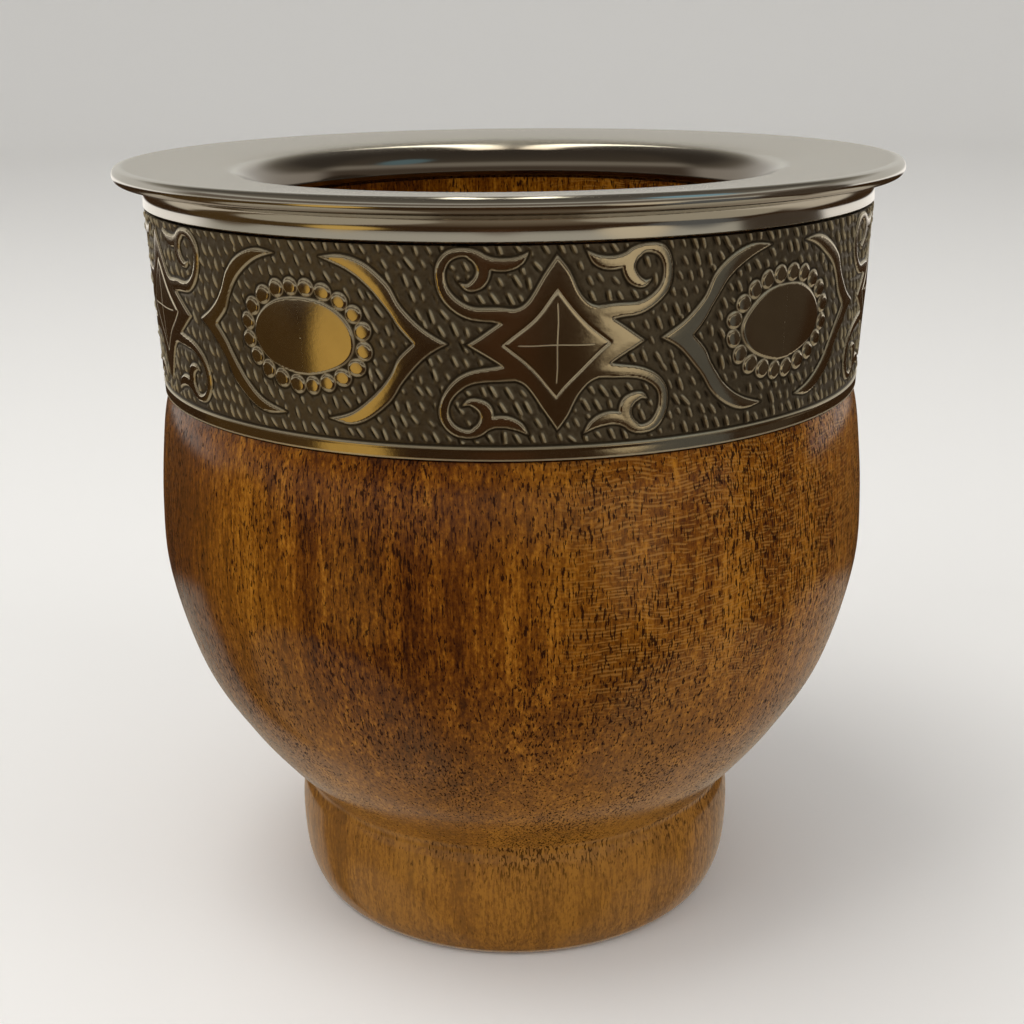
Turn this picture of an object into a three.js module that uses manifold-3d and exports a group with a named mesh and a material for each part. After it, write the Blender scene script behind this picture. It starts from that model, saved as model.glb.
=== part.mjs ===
// A turned wooden mate cup with a steel mouth ring and an embossed metal band.
//
// Units are millimetres and +Z is up. The origin is the middle of the foot's
// underside, so the cup stands on z = 0. An angle of 0 degrees faces -Y, and
// angles grow towards +X.

import * as THREE from "three";
import { mergeVertices } from "three/addons/utils/BufferGeometryUtils.js";
import Module from "manifold-3d";

const wasm = await Module();
wasm.setup();

// Facets round the cup, and the gap left where two pieces touch
const SIDES = 48;
const FIT_GAP = 0.3;

// Points closer together than TINY are one point. When the band is cut into
// upright columns, a point within SNAP of a column's edge is moved onto it.
const TINY = 1e-3;
const SNAP = 0.03;

// Steel mouth ring: a dished lip with a rolled edge, a collar outside the
// wood and a short sleeve inside it
const LIP_RADIUS = 45;
const LIP_HEIGHT = 89.81;
const ROLL_RADIUS = 0.87;
const ROLL_START_ANGLE = -70;
const MOUTH_EDGE_RADIUS = 31.85;
const MOUTH_EDGE_HEIGHT = 89.77;
const MOUTH_FILLET = 3;
const SLEEVE_BOTTOM = 85.5;
const RING_SHEET = 1;
const COLLAR_RADIUS = 41.8;
const COLLAR_BOTTOM = 86.25;
const COVE_BOTTOM = 87.2;
const COVE_RADIUS = 1.7;

// Embossed band: a thin tapered sheet whose raised work reaches the radii here
const BAND_TOP = COLLAR_BOTTOM - FIT_GAP;
const BAND_BOTTOM = 65.35;
const BAND_TOP_RADIUS = 41.8;
const BAND_BOTTOM_RADIUS = 41;
const BAND_SHEET = 0.6;
const RELIEF = 0.3;
const BORDER_HEIGHT = 1.35;

// Layout of the ornament: stars at one pitch in degrees, with an oval midway
// after each. The last gap, behind, is a little wider, and the strip's ends
// meet this many millimetres before the first star.
const MOTIF_HEIGHT = 76.7;
const MOTIF_COUNT = 5;
const MOTIF_PITCH = 70.6;
const FIRST_STAR = 6.1 - 2 * MOTIF_PITCH;
const SEAM_FROM_STAR = 12.3;

// Wooden cup, as [radius, height] along its outside from the foot's edge
const FOOT_CURVE = [
  [26, 0], [26.75, 0.9], [27.55, 3.9], [27.85, 8.6], [27.6, 12.6], [27.25, 14.7],
];
const BOWL_CURVE = [
  [27.25, 14.7], [28.7, 16.8], [31.2, 19.7], [35, 24.9], [39.3, 32.7],
  [42.1, 43.4], [42.35, 51.6], [41.5, 61], [40.66, 65.05],
];
// The hollow, as [radius, height] from the mouth down to the middle of its floor
const HOLLOW_CURVE = [
  [29.1, 85.2], [29.3, 70], [29, 52], [27.2, 38], [23, 27.5], [15.5, 20.5], [0, 18],
];

// Ornament, in millimetres across and up from the motif's middle. A ribbon's
// points are [across, up, half width], and they run along its middle.
const STAR_FLANK = [[0, 8.4], [1, 6.9], [2.1, 4.95], [3.2, 3.75], [4.6, 3.3]];
const STAR_NOTCH = [5.1, 2.25];
const STAR_ARROW = [8.5, 0];
const SCROLL = [
  [3.2, 2.5, 0.9], [5.6, 2.85, 0.7], [8, 3.1, 0.6], [9.6, 3.95, 0.55], [10.6, 5.3, 0.5],
  [10.75, 7, 0.5], [9.9, 8.35, 0.5], [8.4, 8.7, 0.42], [7.2, 8.1, 0.6], [6.75, 7, 0.62],
  [7.15, 5.95, 0.6], [8.2, 5.45, 0.35], [9, 5.85, 0],
];
const SCROLL_TAIL = [
  [7.7, 8.4, 0.5], [6.2, 7.6, 0.6], [4.8, 7.5, 0.62], [3.6, 7.9, 0.45], [2.7, 8.75, 0],
];
const BRACKET_OUTER = [
  [2.6, 7.9], [5, 8.25], [7.3, 7.5], [9.5, 5.8], [10.8, 3.6], [13, 1.3], [15.2, -0.05],
];
const BRACKET_INNER = [[2.6, 7.9], [5.3, 6.95], [7.8, 5.2], [9.5, 3], [10.4, 1.5], [11.8, -0.05]];
const OVAL_ACROSS = 5.95;
const OVAL_UP = 3.85;
const OVAL_RELIEF = 0.35;
const BEAD_COUNT = 20;
const BEAD_RADIUS = 0.85;
const BEAD_SIDES = 5;
const BEAD_RING_ACROSS = 7;
const BEAD_RING_UP = 4.85;

// A motif's quarters reach this far past its middle lines, so that they join
const QUARTER_OVERLAP = 0.4;
const TIP_OVERLAP = 0.1;

// Straight steps along each curve
const STEPS = {
  foot: 5,
  bowl: 11,
  hollow: 8,
  cove: 3,
  roll: 4,
  fillet: 3,
  insideFillet: 2,
  starFlank: 3,
  scroll: 12,
  scrollTail: 3,
  bracketOuter: 6,
  bracketInner: 5,
  oval: 16,
};

const BAND_MEAN_RADIUS = (BAND_TOP_RADIUS + BAND_BOTTOM_RADIUS) / 2;
const COLUMN_WIDTH = (2 * Math.PI * BAND_MEAN_RADIUS) / SIDES;

const steel = new THREE.MeshStandardMaterial({ color: 0xb4afa2, roughness: 0.28, metalness: 1 });
const nickelSilver = new THREE.MeshStandardMaterial({ color: 0x6b5f4a, roughness: 0.4, metalness: 1 });
const wood = new THREE.MeshStandardMaterial({ color: 0x82501a, roughness: 0.45, metalness: 0 });

const point = ([x, y]) => new THREE.Vector2(x, y);

// Points evenly along a smooth curve through the given ones
function smooth(controls, steps) {
  return new THREE.SplineCurve(controls.map(point)).getSpacedPoints(steps);
}

// Points along a circular arc, between two angles in degrees
function arc(centre, radius, from, to, steps) {
  const points = [];
  for (let i = 0; i <= steps; i += 1) {
    const angle = THREE.MathUtils.degToRad(from + ((to - from) * i) / steps);
    const across = centre[0] + radius * Math.cos(angle);
    const up = centre[1] + radius * Math.sin(angle);
    points.push(new THREE.Vector2(across, up));
  }
  return points;
}

// Turns a profile of [radius, height] points round the vertical axis
function turned(profile) {
  return new THREE.LatheGeometry(profile, SIDES).rotateX(Math.PI / 2);
}

// A closed solid made from a mesh, and a mesh made from a solid
function solidOf(geometry) {
  const bare = geometry.index === null ? geometry : geometry.clone();
  bare.deleteAttribute("normal");
  bare.deleteAttribute("uv");
  const merged = mergeVertices(bare);
  return new wasm.Manifold(new wasm.Mesh({
    numProp: 3,
    vertProperties: new Float32Array(merged.attributes.position.array),
    triVerts: new Uint32Array(merged.index.array),
  }));
}

function geometryOf(solid) {
  const mesh = solid.getMesh();
  const geometry = new THREE.BufferGeometry();
  const places = new Float32Array(mesh.vertProperties);
  geometry.setAttribute("position", new THREE.BufferAttribute(places, 3));
  geometry.setIndex(new THREE.BufferAttribute(new Uint32Array(mesh.triVerts), 1));
  geometry.computeVertexNormals();
  return geometry;
}

// The ground radius of the band's face, below its raised work
function groundRadius(height) {
  const share = (height - BAND_BOTTOM) / (BAND_TOP - BAND_BOTTOM);
  return THREE.MathUtils.lerp(BAND_BOTTOM_RADIUS, BAND_TOP_RADIUS, share) - RELIEF;
}

// The ring is spun from one sheet: collar, cove, rolled edge, lip and sleeve
function mouthRing() {
  const coveRight = COLLAR_RADIUS + COVE_RADIUS;
  const rollMiddle = LIP_RADIUS - ROLL_RADIUS;
  const filletCentre = [MOUTH_EDGE_RADIUS, MOUTH_EDGE_HEIGHT - MOUTH_FILLET];
  const collarInside = COLLAR_RADIUS - RING_SHEET;
  const profile = [
    new THREE.Vector2(COLLAR_RADIUS, COLLAR_BOTTOM),
    ...arc([coveRight, COVE_BOTTOM], COVE_RADIUS, 180, 90, STEPS.cove),
    ...arc([rollMiddle, LIP_HEIGHT], ROLL_RADIUS, ROLL_START_ANGLE, 90, STEPS.roll),
    ...arc(filletCentre, MOUTH_FILLET, 90, 180, STEPS.fillet),
    new THREE.Vector2(MOUTH_EDGE_RADIUS - MOUTH_FILLET, SLEEVE_BOTTOM),
    new THREE.Vector2(MOUTH_EDGE_RADIUS - MOUTH_FILLET + RING_SHEET, SLEEVE_BOTTOM),
    ...arc(filletCentre, MOUTH_FILLET - RING_SHEET, 180, 90, STEPS.insideFillet),
    new THREE.Vector2(collarInside, MOUTH_EDGE_HEIGHT - RING_SHEET),
    new THREE.Vector2(collarInside, COLLAR_BOTTOM),
    new THREE.Vector2(COLLAR_RADIUS, COLLAR_BOTTOM),
  ];
  return turned(profile);
}

// The cup is one turned piece: foot, neck, bowl, the rebate that the band lies
// in, and a reduced top that stands up inside the mouth ring
function woodCup() {
  const behindBand = RELIEF + BAND_SHEET + FIT_GAP;
  const ledge = BAND_BOTTOM - FIT_GAP;
  const sleeveSeat = MOUTH_EDGE_RADIUS - MOUTH_FILLET + RING_SHEET + FIT_GAP;
  const top = MOUTH_EDGE_HEIGHT - RING_SHEET - FIT_GAP;
  const hollow = smooth(HOLLOW_CURVE, STEPS.hollow);
  const profile = [
    new THREE.Vector2(0, 0),
    ...smooth(FOOT_CURVE, STEPS.foot),
    ...smooth(BOWL_CURVE, STEPS.bowl).slice(1),
    new THREE.Vector2(BAND_BOTTOM_RADIUS - behindBand, ledge),
    new THREE.Vector2(BAND_TOP_RADIUS - behindBand, BAND_TOP),
    new THREE.Vector2(COLLAR_RADIUS - RING_SHEET - FIT_GAP, BAND_TOP),
    new THREE.Vector2(COLLAR_RADIUS - RING_SHEET - FIT_GAP, top),
    new THREE.Vector2(MOUTH_EDGE_RADIUS, top),
    new THREE.Vector2(sleeveSeat, MOUTH_EDGE_HEIGHT - MOUTH_FILLET),
    new THREE.Vector2(sleeveSeat, HOLLOW_CURVE[0][1]),
    ...hollow,
  ];
  return turned(profile);
}

// The outline of a ribbon that follows a smooth line and changes its width
function ribbon(points, steps) {
  const controls = points.map(([x, y, half]) => new THREE.Vector3(x, y, half));
  const line = new THREE.CatmullRomCurve3(controls);
  const left = [];
  const right = [];
  for (let i = 0; i <= steps; i += 1) {
    const middle = line.getPointAt(i / steps);
    const along = line.getTangentAt(i / steps);
    const aside = new THREE.Vector2(-along.y, along.x).setLength(Math.max(middle.z, 0));
    left.push(new THREE.Vector2(middle.x + aside.x, middle.y + aside.y));
    if (middle.z > TINY) {
      right.unshift(new THREE.Vector2(middle.x - aside.x, middle.y - aside.y));
    }
  }
  return [...left, ...right];
}

// A flat plate with the given outline, standing the given height over the ground
function plate(outline, height) {
  const settings = { depth: height + BAND_SHEET / 2, bevelEnabled: false, steps: 1 };
  const geometry = new THREE.ExtrudeGeometry(new THREE.Shape(outline), settings);
  return solidOf(geometry.translate(0, 0, -BAND_SHEET / 2));
}

// The same outlines in all four quarters, joined
function inFourQuarters(outlines, height) {
  const plates = [];
  for (const across of [1, -1]) {
    for (const up of [1, -1]) {
      for (const outline of outlines) {
        const mirrored = outline.map((p) => new THREE.Vector2(across * p.x, up * p.y));
        plates.push(plate(mirrored, height));
      }
    }
  }
  return plates.reduce((whole, next) => whole.add(next));
}

// A four-pointed star whose arms split into scrolls
function starMotif() {
  const body = [
    new THREE.Vector2(-QUARTER_OVERLAP, -QUARTER_OVERLAP),
    new THREE.Vector2(STAR_ARROW[0] - QUARTER_OVERLAP, -TIP_OVERLAP),
    point(STAR_ARROW),
    point(STAR_NOTCH),
    ...smooth(STAR_FLANK, STEPS.starFlank).reverse(),
    new THREE.Vector2(-TIP_OVERLAP, STAR_FLANK[0][1] - QUARTER_OVERLAP),
  ];
  const scroll = ribbon(SCROLL, STEPS.scroll);
  const tail = ribbon(SCROLL_TAIL, STEPS.scrollTail);
  return geometryOf(inFourQuarters([body, scroll, tail], RELIEF));
}

// An oval in a ring of beads, between two brackets
function ovalMotif() {
  const outside = smooth(BRACKET_OUTER, STEPS.bracketOuter);
  const inside = smooth(BRACKET_INNER, STEPS.bracketInner).slice(1).reverse();
  const oval = new THREE.EllipseCurve(0, 0, OVAL_ACROSS, OVAL_UP);
  const beadRing = new THREE.EllipseCurve(0, 0, BEAD_RING_ACROSS, BEAD_RING_UP);
  let motif = inFourQuarters([[...outside, ...inside]], RELIEF);
  motif = motif.add(plate(oval.getSpacedPoints(STEPS.oval).slice(1), OVAL_RELIEF));
  for (const middle of beadRing.getSpacedPoints(BEAD_COUNT).slice(1)) {
    const bead = arc([middle.x, middle.y], BEAD_RADIUS, 0, 360, BEAD_SIDES).slice(1);
    motif = motif.add(plate(bead, RELIEF));
  }
  return geometryOf(motif);
}

// Splits a triangle wherever one of the given points lies inside an edge of it
function splitAtPoints(triangle, points) {
  for (let k = 0; k < 3; k += 1) {
    const [a, b, c] = [triangle[k], triangle[(k + 1) % 3], triangle[(k + 2) % 3]];
    const middle = points.find((p) => {
      const onColumnEdge = a.x === p.x && b.x === p.x;
      const apart = p.distanceTo(a) > TINY && p.distanceTo(b) > TINY;
      const detour = p.distanceTo(a) + p.distanceTo(b) - b.distanceTo(a);
      return onColumnEdge && apart && detour < TINY / 10;
    });
    if (middle !== undefined) {
      return [...splitAtPoints([a, middle, c], points), ...splitAtPoints([middle, b, c], points)];
    }
  }
  return [triangle];
}

// The upright edges of the columns that a flat strip is cut into
function columnEdges(start, end) {
  const edges = [start];
  for (let side = Math.ceil(start / COLUMN_WIDTH); side * COLUMN_WIDTH < end; side += 1) {
    edges.push(side * COLUMN_WIDTH);
  }
  return [...edges, end];
}

// Moves the points that nearly touch a column's edge onto it
function snapped(strip, edges) {
  const geometry = geometryOf(strip);
  const positions = geometry.attributes.position;
  for (let i = 0; i < positions.count; i += 1) {
    const near = edges.find((edge) => Math.abs(positions.getX(i) - edge) < SNAP);
    positions.setX(i, near ?? positions.getX(i));
  }
  return solidOf(geometry);
}

// Cuts a flat strip into columns, and returns its triangles without the cut faces
function inColumns(strip, edges) {
  const triangles = [];
  edges.slice(1).forEach((right, i) => {
    const left = edges[i];
    const column = new THREE.BoxGeometry(right - left, 2 * BAND_TOP, 2 * BAND_TOP);
    const cut = strip.intersect(solidOf(column.translate((left + right) / 2, 0, 0)));
    const flat = geometryOf(cut).toNonIndexed().attributes.position;
    for (let k = 0; k < flat.count; k += 3) {
      const triangle = [0, 1, 2].map((j) => new THREE.Vector3().fromBufferAttribute(flat, k + j));
      for (const vertex of triangle) {
        vertex.x = [left, right].find((edge) => Math.abs(vertex.x - edge) < TINY) ?? vertex.x;
      }
      if (![left, right].some((edge) => triangle.every((vertex) => vertex.x === edge))) {
        triangles.push(triangle);
      }
    }
  });
  return triangles;
}

// Bends a flat strip into a ring with a flat facet for each side of the cup
function bentRound(strip, start, end) {
  const edges = columnEdges(start, end);
  const triangles = inColumns(snapped(strip, edges), edges);
  const shared = triangles.flat().filter((vertex) => edges.includes(vertex.x));
  const seam = shared.filter((vertex) => vertex.x === start || vertex.x === end);
  shared.push(...seam.map((vertex) => vertex.clone().setX(vertex.x === start ? end : start)));
  const corner = (side, radius) => {
    const angle = (2 * Math.PI * side) / SIDES;
    return new THREE.Vector2(radius * Math.sin(angle), -radius * Math.cos(angle));
  };
  const pieces = triangles.flatMap((triangle) => splitAtPoints(triangle, shared));
  const bent = pieces.flat().map((vertex) => {
    const across = vertex.x === end ? start : vertex.x;
    const radius = groundRadius(MOTIF_HEIGHT + vertex.y) + vertex.z;
    const side = Math.floor(across / COLUMN_WIDTH + TINY);
    const share = across / COLUMN_WIDTH - side;
    const place = corner(side, radius).lerp(corner(side + 1, radius), share);
    return new THREE.Vector3(place.x, place.y, MOTIF_HEIGHT + vertex.y);
  });
  return geometryOf(solidOf(new THREE.BufferGeometry().setFromPoints(bent)));
}

// The band is one sheet: a plain border along its lower edge, and stars and
// beaded ovals raised on a lower ground. It is laid out flat, then bent round.
function embossedBand() {
  const around = (degrees) => THREE.MathUtils.degToRad(degrees) * BAND_MEAN_RADIUS;
  const lastPitch = 360 - (MOTIF_COUNT - 1) * MOTIF_PITCH;
  const start = around(FIRST_STAR) - SEAM_FROM_STAR;
  const end = start + around(360);
  const bar = (bottom, top, low, high) => {
    const box = new THREE.BoxGeometry(end - start, top - bottom, high - low);
    return box.translate((start + end) / 2, (bottom + top) / 2 - MOTIF_HEIGHT, (low + high) / 2);
  };
  const star = starMotif();
  const oval = ovalMotif();
  let strip = solidOf(bar(BAND_BOTTOM, BAND_TOP, -BAND_SHEET, 0));
  strip = strip.add(solidOf(bar(BAND_BOTTOM, BAND_BOTTOM + BORDER_HEIGHT, -BAND_SHEET, RELIEF)));
  for (let i = 0; i < MOTIF_COUNT; i += 1) {
    const starAngle = FIRST_STAR + i * MOTIF_PITCH;
    const pitch = i === MOTIF_COUNT - 1 ? lastPitch : MOTIF_PITCH;
    strip = strip.add(solidOf(star.clone().translate(around(starAngle), 0, 0)));
    strip = strip.add(solidOf(oval.clone().translate(around(starAngle + pitch / 2), 0, 0)));
  }
  return bentRound(strip, start, end);
}

function named(name, geometry, material) {
  const mesh = new THREE.Mesh(geometry, material);
  mesh.name = name;
  return mesh;
}

const cup = new THREE.Group();
cup.add(named("wood_cup", woodCup(), wood));
cup.add(named("mouth_ring", mouthRing(), steel));
cup.add(named("band", embossedBand(), nickelSilver));

export default cup;
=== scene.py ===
# %% [markdown]
# # A wooden mate cup with a steel mouth ring and an embossed band
#
# The cup is three pieces: a bowl turned from one block of hardwood, a steel
# ring that caps its mouth, and a strip of nickel silver that is embossed flat
# and bent round the wood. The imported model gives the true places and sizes.
# Each piece is modelled again here with the fine shape that shows up close.

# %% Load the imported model
import math

import bpy
import numpy as np
from mathutils import Matrix, Vector


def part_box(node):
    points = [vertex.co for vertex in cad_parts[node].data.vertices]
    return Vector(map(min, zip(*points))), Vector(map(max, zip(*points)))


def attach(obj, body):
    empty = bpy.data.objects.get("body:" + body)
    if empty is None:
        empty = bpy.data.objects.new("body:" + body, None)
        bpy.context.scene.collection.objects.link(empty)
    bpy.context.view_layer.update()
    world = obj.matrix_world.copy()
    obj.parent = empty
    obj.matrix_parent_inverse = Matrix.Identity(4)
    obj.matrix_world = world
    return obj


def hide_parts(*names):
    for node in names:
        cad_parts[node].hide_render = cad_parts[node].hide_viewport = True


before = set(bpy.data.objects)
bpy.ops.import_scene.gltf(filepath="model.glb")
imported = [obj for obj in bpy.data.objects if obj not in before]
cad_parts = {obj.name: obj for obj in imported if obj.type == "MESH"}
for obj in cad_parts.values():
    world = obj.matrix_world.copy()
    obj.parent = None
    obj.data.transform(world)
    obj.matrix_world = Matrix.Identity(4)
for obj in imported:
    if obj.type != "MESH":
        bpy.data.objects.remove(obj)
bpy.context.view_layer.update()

MM = 0.001

# %% [markdown]
# ## Places taken from the frame
#
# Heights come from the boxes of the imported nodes, so the fine pieces sit
# exactly where the plain ones do. Radii, sheet thicknesses and the depth of the
# relief are sizes of their own, in millimetres.

# %% Driving dimensions
RING_LOW, RING_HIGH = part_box("mouth_ring")
BAND_LOW, BAND_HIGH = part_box("band")
WOOD_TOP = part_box("wood_cup")[1].z
FIT_GAP = 0.3 * MM

LIP_RADIUS = 45 * MM
LIP_DIP = 0.91 * MM
ROLL_RADIUS = 0.87 * MM
LIP_TOP = RING_HIGH.z
SLEEVE_BOTTOM = RING_LOW.z
MOUTH_EDGE_RADIUS = 31.85 * MM
MOUTH_EDGE_HEIGHT = LIP_TOP - LIP_DIP
MOUTH_FILLET = 3 * MM
RING_SHEET = 1 * MM
COLLAR_RADIUS = 41.8 * MM
COLLAR_BOTTOM = BAND_HIGH.z + FIT_GAP
COVE_RADIUS = 1.7 * MM

BAND_TOP_RADIUS = COLLAR_RADIUS
BAND_BOTTOM_RADIUS = 41 * MM
BAND_MIDDLE = (BAND_TOP_RADIUS + BAND_BOTTOM_RADIUS) / 2
BAND_SHEET = 0.6 * MM
RELIEF = 0.3 * MM
print("lip top", round(LIP_TOP / MM, 2), "mm, band", round((BAND_HIGH.z - BAND_LOW.z) / MM, 2), "mm high")

# %% [markdown]
# ## Turning
#
# Wood on a lathe and sheet metal spun over a form are both shapes of one
# profile turned round an axis. Blender's Spin does the same. The profile could
# be a curve with a Screw modifier, but drawing it point by point with Extrude
# and spinning it keeps real mesh edges where the piece has them.

# %% Smooth curves and arcs for profiles
def smooth_through(points, per_span):
    """Points of a smooth curve through the given ones, which may have any number of values each"""
    controls = np.array(points, float)
    padded = np.vstack([controls[:1], controls, controls[-1:]])
    result = [controls[0]]
    for before, start, end, after in zip(padded, padded[1:], padded[2:], padded[3:]):
        for step in range(1, per_span + 1):
            t = step / per_span
            leave = (end - before) / 2
            arrive = (after - start) / 2
            a = 2 * start - 2 * end + leave + arrive
            b = -3 * start + 3 * end - 2 * leave - arrive
            result.append(a * t**3 + b * t**2 + leave * t + start)
    return [tuple(point) for point in result]


def arc(centre, radius, start, end, steps):
    """Points along an arc between two angles in degrees"""
    x, y = centre
    angles = np.radians(np.linspace(start, end, steps + 1))
    return [(x + radius * math.cos(angle), y + radius * math.sin(angle)) for angle in angles]


# %% Draw a profile and spin it
SPIN_STEPS = 240


def apply_place(piece):
    """Moves the piece's place into its mesh, so that its object sits at the origin"""
    bpy.ops.object.select_all(action="DESELECT")
    piece.select_set(True)
    bpy.context.view_layer.objects.active = piece
    bpy.ops.object.transform_apply(location=True, rotation=True, scale=True)


def turn(name, profile, sharp_angle):
    """Extrudes one point along a profile of (radius, height), and spins it round the Z axis"""
    bpy.ops.object.select_all(action="DESELECT")
    bpy.ops.mesh.primitive_plane_add(size=MM, location=(profile[0][0], 0, profile[0][1]))
    piece = bpy.context.object
    piece.name = name
    bpy.ops.object.mode_set(mode="EDIT")
    bpy.ops.mesh.select_mode(type="VERT")
    bpy.ops.mesh.select_all(action="SELECT")
    bpy.ops.mesh.merge(type="CENTER")
    for start, end in zip(profile, profile[1:]):
        step = (end[0] - start[0], 0, end[1] - start[1])
        bpy.ops.mesh.extrude_region_move(TRANSFORM_OT_translate={"value": step})
    bpy.ops.mesh.select_all(action="SELECT")
    bpy.ops.mesh.spin(steps=SPIN_STEPS, angle=2 * math.pi, center=(0, 0, 0), axis=(0, 0, 1))
    bpy.ops.mesh.select_all(action="SELECT")
    bpy.ops.mesh.remove_doubles(threshold=0.002 * MM)
    bpy.ops.mesh.normals_make_consistent(inside=False)
    bpy.ops.object.mode_set(mode="OBJECT")
    apply_place(piece)
    bpy.ops.object.shade_smooth_by_angle(angle=math.radians(sharp_angle))
    print(name, len(piece.data.polygons), "faces")
    return piece


# %% [markdown]
# ## The bowl
#
# The bowl, its neck and its foot are one block of wood. Its outside is one
# flowing curve with a soft neck, and its top is turned down to take the band
# and the mouth ring. The hollow has a rounded floor. Box modelling would leave
# flats on such a shape, so it is turned from one profile.

# %% Turn the bowl
FOOT_CURVE = [(26, 0.25), (26.75, 1.2), (27.55, 3.9), (27.85, 8.6), (27.6, 12.6), (27.25, 14.7)]
BOWL_CURVE = [
    (27.25, 14.7), (28.7, 16.8), (31.2, 19.7), (35, 24.9), (39.3, 32.7),
    (42.1, 43.4), (42.35, 51.6), (41.5, 61), (40.66, 65.05),
]
HOLLOW_CURVE = [(29.1, 85.2), (29.3, 70), (29, 52), (27.2, 38), (23, 27.5), (15.5, 20.5), (0, 18)]


def in_metres(points):
    return [(x * MM, y * MM) for x, y in points]


def bowl_profile():
    behind_band = RELIEF + BAND_SHEET + FIT_GAP
    ledge = BAND_LOW.z - FIT_GAP
    shoulder = COLLAR_RADIUS - RING_SHEET - FIT_GAP
    seat = MOUTH_EDGE_RADIUS - MOUTH_FILLET + RING_SHEET + FIT_GAP
    outside = smooth_through(FOOT_CURVE + BOWL_CURVE[1:], 8)
    return [
        (0, 0), (13 * MM, 0), (25.75 * MM, 0), *in_metres(outside),
        (40.5 * MM, ledge), (BAND_BOTTOM_RADIUS - behind_band, ledge),
        (BAND_TOP_RADIUS - behind_band, BAND_HIGH.z), (shoulder, BAND_HIGH.z),
        (shoulder, WOOD_TOP), (MOUTH_EDGE_RADIUS, WOOD_TOP),
        (seat, MOUTH_EDGE_HEIGHT - MOUTH_FILLET), (seat, HOLLOW_CURVE[0][1] * MM),
        *in_metres(smooth_through(HOLLOW_CURVE, 8)),
    ]


bowl = turn("turned_bowl", bowl_profile(), 35)

# %% [markdown]
# ## The mouth ring
#
# The ring is sheet steel spun to shape: a wide lip that dips towards the mouth,
# a rolled edge, a cove and a plain collar outside, and a sleeve inside the
# mouth. The lip and the rolled edge catch the light in thin lines, so its arcs
# are drawn with many points.

# %% Spin the ring
def ring_profile():
    roll = (LIP_RADIUS - ROLL_RADIUS, LIP_TOP - ROLL_RADIUS)
    cove = (COLLAR_RADIUS + COVE_RADIUS, COLLAR_BOTTOM + 0.95 * MM)
    inside = COLLAR_RADIUS - RING_SHEET
    sleeve = MOUTH_EDGE_RADIUS - MOUTH_FILLET
    lip = [(44.62, 0.14), (44.2, 0.03), (43.5, 0), (42.6, 0.03), (41.2, 0.12), (39, 0.27), (36.5, 0.48),
           (34.3, 0.7), (32.6, 0.96), (31.2, 1.36), (30.1, 2.05), (29.3, 3.05), (28.9, 4.2), (28.85, 4.9)]
    fillet = (MOUTH_EDGE_RADIUS, MOUTH_EDGE_HEIGHT - MOUTH_FILLET)
    return [
        (COLLAR_RADIUS - 0.04 * MM, COLLAR_BOTTOM), (COLLAR_RADIUS + 0.06 * MM, COLLAR_BOTTOM + 0.1 * MM),
        *arc(cove, COVE_RADIUS, 180, 95, 10),
        *arc(roll, ROLL_RADIUS, -78, 45, 14),
        *[(x * MM, LIP_TOP - drop * MM) for x, drop in smooth_through(lip, 4)],
        (sleeve, SLEEVE_BOTTOM + 0.15 * MM), (sleeve + 0.15 * MM, SLEEVE_BOTTOM),
        (sleeve + RING_SHEET, SLEEVE_BOTTOM),
        *arc(fillet, MOUTH_FILLET - RING_SHEET - 0.2 * MM, 180, 90, 6),
        (inside, MOUTH_EDGE_HEIGHT - RING_SHEET - 0.2 * MM), (inside, COLLAR_BOTTOM),
        (COLLAR_RADIUS - 0.04 * MM, COLLAR_BOTTOM),
    ]


ring = turn("spun_mouth_ring", ring_profile(), 40)

# %% [markdown]
# ## The band's ornament
#
# The real strip is chased by hand from a drawing: stars with four scrolls,
# ovals in a ring of beads between two brackets, and a ground struck all over
# with a slanting punch. Cutting each motif out as a plate would give hard
# edges. Here every motif is a distance: how far inside its outline a point
# lies. A soft step over that distance gives the rounded edge that a punch
# leaves, and its highest value over all motifs is the relief.

# %% Distances inside ribbons and outlines, in millimetres
def inside_ribbon(across, up, points):
    """How far inside a ribbon of (across, up, half width) each place lies"""
    deepest = np.full(across.shape, -99.0)
    for x, y, half in smooth_through(points, 10):
        deepest = np.maximum(deepest, half - np.hypot(across - x, up - y))
    return deepest


def inside_outline(across, up, outline):
    """How far inside a closed outline each place lies, negative outside it"""
    nearest = np.full(across.shape, 99.0)
    within = np.zeros(across.shape, bool)
    for (x0, y0), (x1, y1) in zip(outline, outline[1:] + outline[:1]):
        dx, dy = x1 - x0, y1 - y0
        along = np.clip(((across - x0) * dx + (up - y0) * dy) / (dx * dx + dy * dy), 0, 1)
        nearest = np.minimum(nearest, np.hypot(across - x0 - along * dx, up - y0 - along * dy))
        if y0 != y1:
            crosses = (y0 > up) != (y1 > up)
            within ^= crosses & (across < x0 + (up - y0) * dx / dy)
    return np.where(within, nearest, -nearest)


def soft_step(value, low, high):
    t = np.clip((value - low) / (high - low), 0, 1)
    return t * t * (3 - 2 * t)


def line_mark(distance, half_width):
    """A soft groove's or ridge's section, 1 on its line and 0 away from it"""
    return np.exp(-(distance / half_width) ** 2)


# %% [markdown]
# ## The star
#
# The star has four points and four scrolls, with a diamond and a cross chased
# on its middle. Its quarters are alike, so only one is drawn, and a place in
# any quarter loses its signs. A scroll is a ribbon: points along its middle,
# each with half the ribbon's width there.

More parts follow.
